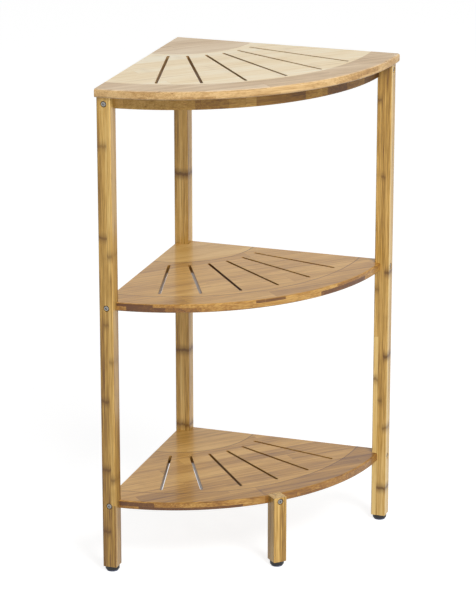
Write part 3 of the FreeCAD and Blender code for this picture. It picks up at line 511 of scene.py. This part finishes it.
def make_shelves():
    for seed, (tier, pieces) in enumerate(SHELF_PIECES.items()):
        top = tier == "top"
        for name, tone in pieces.items():
            field = name == "slotted_panel"
            tones = (FIELD_TONES if field else TAN_TONES) if top else SHELF_TONES
            gloss, gloss_roughness = (0.2, 0.3) if top else (0.36, 0.14)
            wood = Bamboo(f"{tier}_{name}_bamboo", tones, 3.0 + seed, gloss, gloss_roughness)
            wood.lay(CORNER, BISECTOR)
            wood.strips(width=26 * MM, layer=6.1 * MM, length=350 * MM, block=45 * MM)
            finished = wood.finish(
                LINE_AND_SLOT_SHADE_TONE,
                contrast=0.3,
                side_contrast=0.2 if top else 0.42,
                side_tones=TOP_EDGE_TONES if top else EDGE_TONES,
                joints=() if top or field else tier_radii(tier),
                drift=(tone, 0.0),
                # painted shade on the slot walls of the field panels
                slot_wall_shade=0.3 if field else 0.0,
            )
            slot = "bamboo_field" if field else "bamboo_rim"
            detail(f"{tier}_{name}", "shelf_frame", slot, finished, 0.25 * MM if top else 0.4 * MM)
        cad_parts[f"{tier}_rim_spline"].data.materials[0] = finished


def make_apron():
    wood = Bamboo("apron_bamboo", APRON_TONES, 36.0, gloss=0.05, gloss_roughness=0.3)
    wood.lay(CORNER, BISECTOR)
    wood.strips(width=24 * MM, layer=30 * MM, length=60 * MM, block=38 * MM)
    finished = wood.finish(LINE_AND_SLOT_SHADE_TONE, side_contrast=0.3, strip_contrast=0.3, seam_strength=0.3,
                           drift=(0.5, -1.2))
    detail("top_apron", "shelf_frame", "bamboo_apron", finished, 0.4 * MM)
    detail("top_corner_cleat", "shelf_frame", "bamboo_apron", finished, 0.4 * MM)


def make_legs():
    for seed, name in enumerate(LEGS):
        detail(f"{name}_leg", "shelf_frame", "bamboo_leg", leg_bamboo(name, 50.0 + seed), 0.4 * MM)
        detail(f"{name}_leg_bolts", "shelf_frame", "bolt_steel", BOLT_STEEL, 0.3 * MM)
        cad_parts[f"{name}_leg_inserts"].data.materials[0] = ZINC
        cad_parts[f"{name}_foot_insert"].data.materials[0] = ZINC
        stud = f"{name}_foot_stud"
        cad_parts[stud].data.materials[0] = threaded(stud, 1.0 * MM)
        detail(f"{name}_foot_pad", f"{name}_foot", "pad", PAD_PLASTIC, 1.2 * MM)
        detail(f"{name}_foot_glide", f"{name}_foot", "glide", GLIDE_RUBBER, 0.5 * MM)


def make_screws():
    for name in ("apron_screws", "cleat_screws"):
        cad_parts[name].data.materials[0] = SCREW_STEEL


# ---------------------------------------------------------------- stage, light, camera

FLOOR_GREY = (0.4, 0.4, 0.4, 1.0)


def make_floor():
    """A pale floor that looks white and still takes a faint shadow."""
    half = 20.0
    mesh = bpy.data.meshes.new("floor")
    corners = [(-half, -half, 0), (half, -half, 0), (half, half, 0), (-half, half, 0)]
    mesh.from_pydata(corners, [], [(0, 1, 2, 3)])
    floor = bpy.data.objects.new("floor", mesh)
    bpy.context.scene.collection.objects.link(floor)
    g = Graph("floor_white", Base_Color=FLOOR_GREY, Roughness=0.9, Specular_IOR_Level=0.0,
              Emission_Color=WHITE)
    rays = g.node("ShaderNodeLightPath", {}).outputs
    seen = g.math("MAXIMUM", rays["Is Camera Ray"], rays["Is Glossy Ray"])
    g.feed(g.shader.inputs["Emission Strength"], g.times(seen, 0.84))
    mesh.materials.append(g.material)


def make_world(strength):
    """White where it is seen, reflected or seen through, and dimmer as a light."""
    world = bpy.data.worlds.new("studio")
    world.use_nodes = True
    tree = world.node_tree
    background = tree.nodes["Background"]
    background.inputs["Color"].default_value = WHITE
    rays = tree.nodes.new("ShaderNodeLightPath")
    level = strength
    for output in ("Is Camera Ray", "Is Glossy Ray", "Is Transmission Ray"):
        lift = tree.nodes.new("ShaderNodeMath")
        lift.operation = "MAXIMUM"
        tree.links.new(rays.outputs[output], lift.inputs[0])
        if isinstance(level, bpy.types.NodeSocket):
            tree.links.new(level, lift.inputs[1])
        else:
            lift.inputs[1].default_value = level
        level = lift.outputs[0]
    tree.links.new(level, background.inputs["Strength"])
    bpy.context.scene.world = world


def make_lamp(name, place, size, watts, aim):
    """A round soft light that leaves no glare on the varnish."""
    data = bpy.data.lights.new(name, "AREA")
    data.shape = "DISK"
    data.size = size
    data.energy = watts
    lamp = bpy.data.objects.new(name, data)
    lamp.location = place
    lamp.rotation_euler = (Vector(aim) - Vector(place)).to_track_quat("-Z", "Y").to_euler()
    lamp.visible_glossy = False
    bpy.context.scene.collection.objects.link(lamp)


def make_camera():
    """A long lens, a little above the top, a little to the right of square on."""
    data = bpy.data.cameras.new("camera")
    data.lens = 172.4
    data.clip_end = 100.0
    camera = bpy.data.objects.new("camera", data)
    yaw = Matrix.Rotation(math.radians(18.57), 4, "Z")
    pitch = Matrix.Rotation(math.radians(90 - 17.925), 4, "X")
    place = Matrix.Translation((1.2013, -3.6298, 1.6052))
    camera.matrix_world = place @ yaw @ pitch
    bpy.context.scene.collection.objects.link(camera)
    bpy.context.scene.camera = camera


make_shelves()
make_apron()
make_legs()
make_screws()
make_floor()
make_world(strength=0.3)
middle = (CAD_BOX[0] + CAD_BOX[1]) / 2
make_lamp("key", place=(2.0, -1.9, 3.0), size=1.6, watts=95.0, aim=middle)
make_lamp("fill", place=(2.8, -2.6, 0.9), size=2.4, watts=60.0, aim=middle)
make_camera()
bpy.context.scene.view_settings.view_transform = "Standard"
